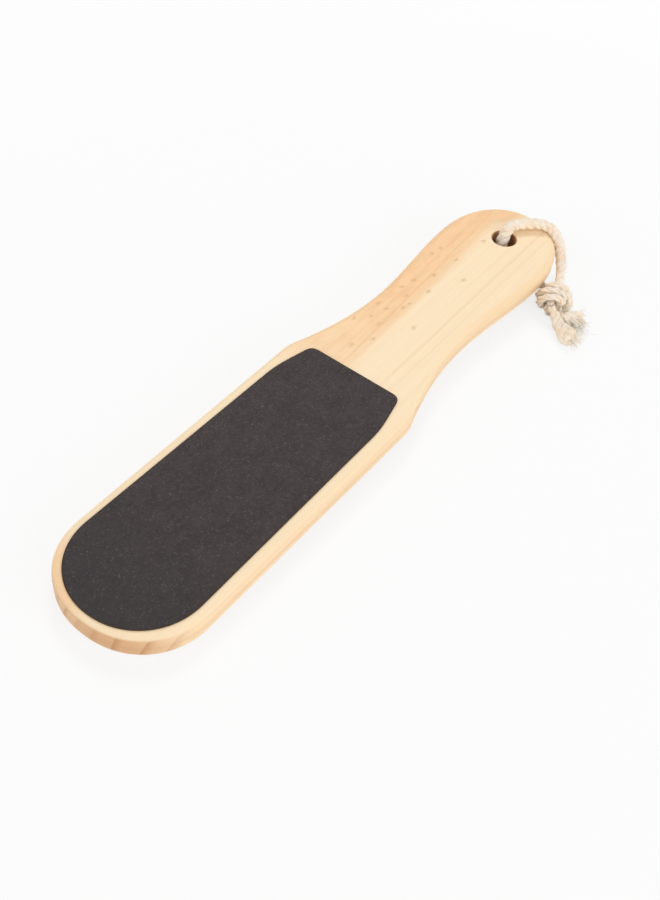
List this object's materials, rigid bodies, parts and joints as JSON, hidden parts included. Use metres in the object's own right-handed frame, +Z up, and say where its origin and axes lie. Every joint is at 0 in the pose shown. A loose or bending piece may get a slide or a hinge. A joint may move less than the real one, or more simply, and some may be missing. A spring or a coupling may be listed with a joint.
{
  "type": "foot file",
  "caption": "Wooden paddle-shaped foot file with an abrasive sheet on each face, a waisted handle and a knotted hanging cord through its end.",
  "frame": {"origin": "centre of the file's box, on the surface that it lies on, without the cord", "axes": "+X along the file towards the handle's end, +Z up, away from the surface it lies on, +Y across the file"},
  "size_m": [0.265, 0.0788, 0.0193],
  "materials": {
    "wood": "sanded pale softwood with a thin clear satin coat",
    "adhesive_film": "thin pressure-sensitive adhesive film",
    "backing_cloth": "resin-filled woven backing cloth, cut edge",
    "coarse_grit": "coarse grit in dark resin, matte with fine sparkle",
    "fine_grit": "fine grit in dark resin, matte",
    "cord": "undyed twisted cotton cord, slightly fuzzy"
  },
  "bodies": {
    "file": {"wood_body": "wood", "front_adhesive_film": "adhesive_film", "front_backing_cloth": "backing_cloth", "coarse_grit_coat": "coarse_grit", "rear_adhesive_film": "adhesive_film", "rear_backing_cloth": "backing_cloth", "fine_grit_coat": "fine_grit"},
    "hanging_cord": {"cord_loop": "cord", "cord_knot": "cord", "cord_tail_a": "cord", "cord_tail_b": "cord"}
  },
  "joints": [
    {"name": "cord_swing", "type": "hinge", "parent": "file", "child": "hanging_cord", "pos_m": [0.11049, 0, 0.00951], "axis": [-0.0171, 0, 0.9999], "range_deg": [-2, 110]}
  ]
}
